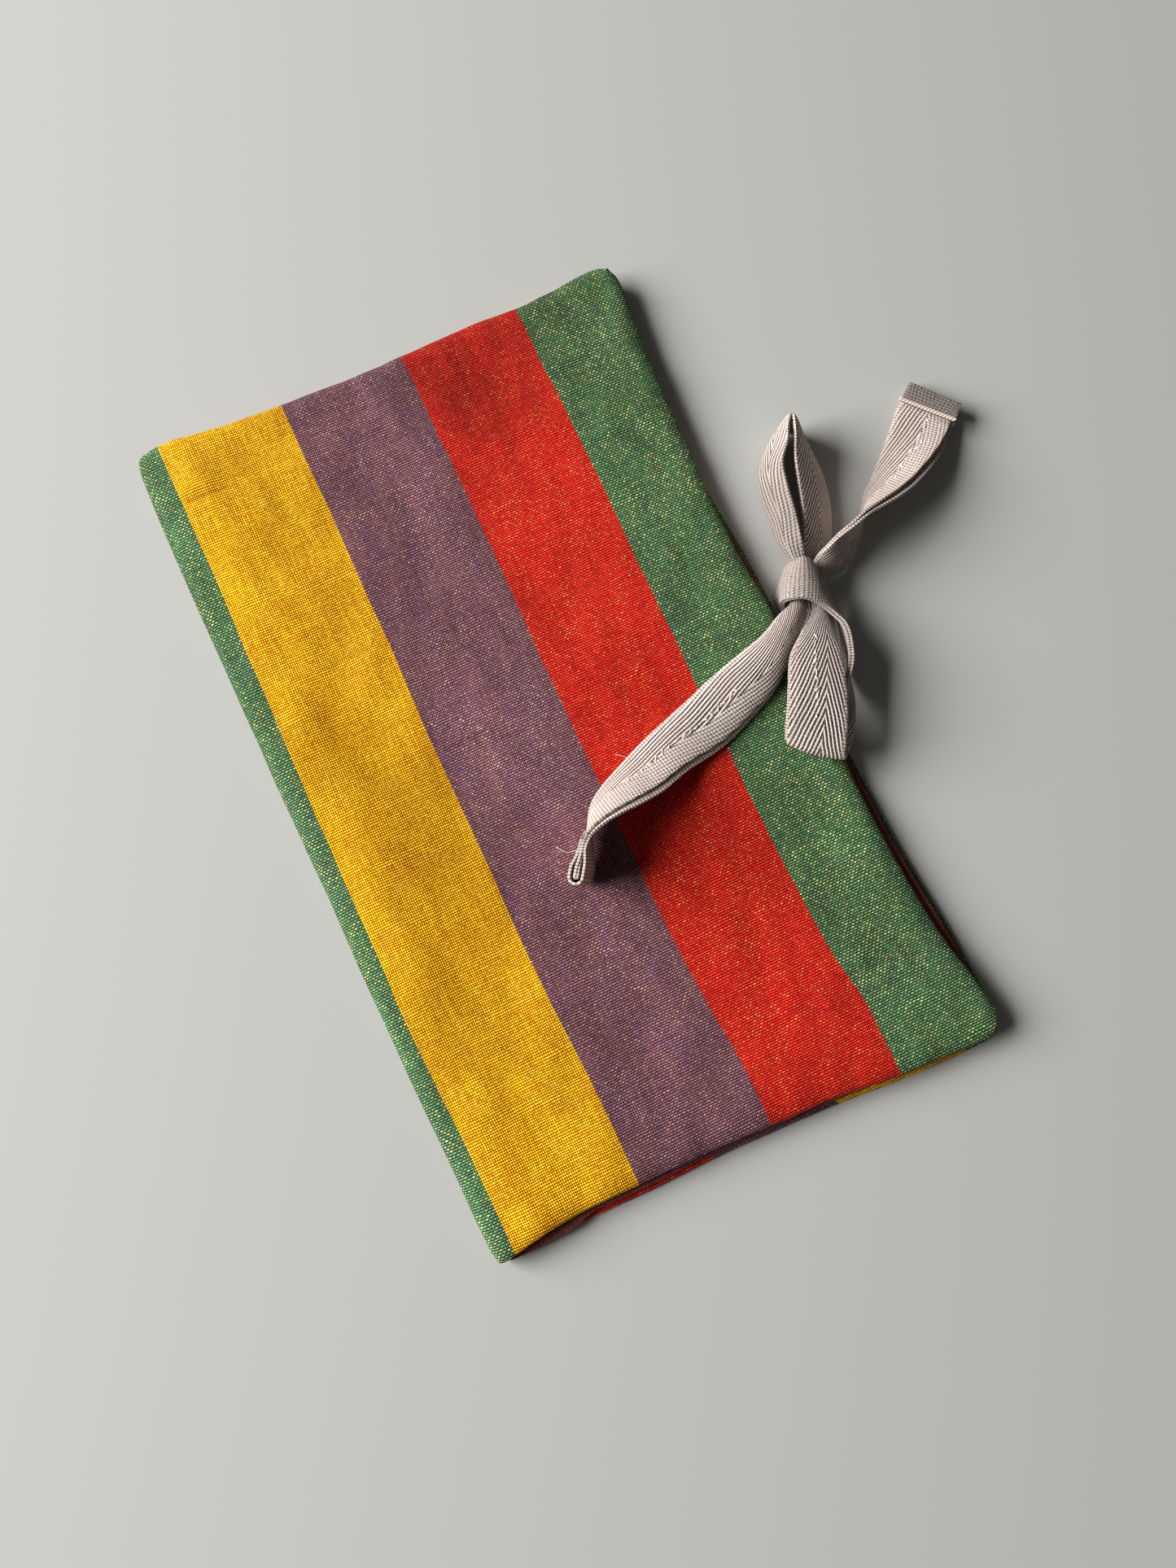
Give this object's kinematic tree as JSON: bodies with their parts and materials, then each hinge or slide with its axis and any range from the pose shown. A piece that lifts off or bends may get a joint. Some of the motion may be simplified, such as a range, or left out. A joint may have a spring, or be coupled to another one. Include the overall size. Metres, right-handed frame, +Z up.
{
  "type": "diaper pouch",
  "caption": "Flat book-fold cloth pouch in broad colour stripes with a dark lining, tied shut by a bow of twill tape at its free edge.",
  "frame": {"origin": "middle of the flat underside, on the surface that the closed pouch lies on", "axes": "+X across the stripes from the fold to the free edge, +Y along the stripes and the fold, +Z up out of the front leaf"},
  "size_m": [0.2311, 0.2539, 0.0255],
  "materials": {
    "striped_canvas": "matt plain weave in broad yellow, mauve, red and green stripes",
    "plum_lining": "matt plain weave, dark plum",
    "twill_tape": "matt herringbone twill, warm grey"
  },
  "bodies": {
    "root": {"outer_cover": "striped_canvas", "lining": "plum_lining", "tie_front": "twill_tape", "tie_back": "twill_tape"}
  },
  "joints": []
}
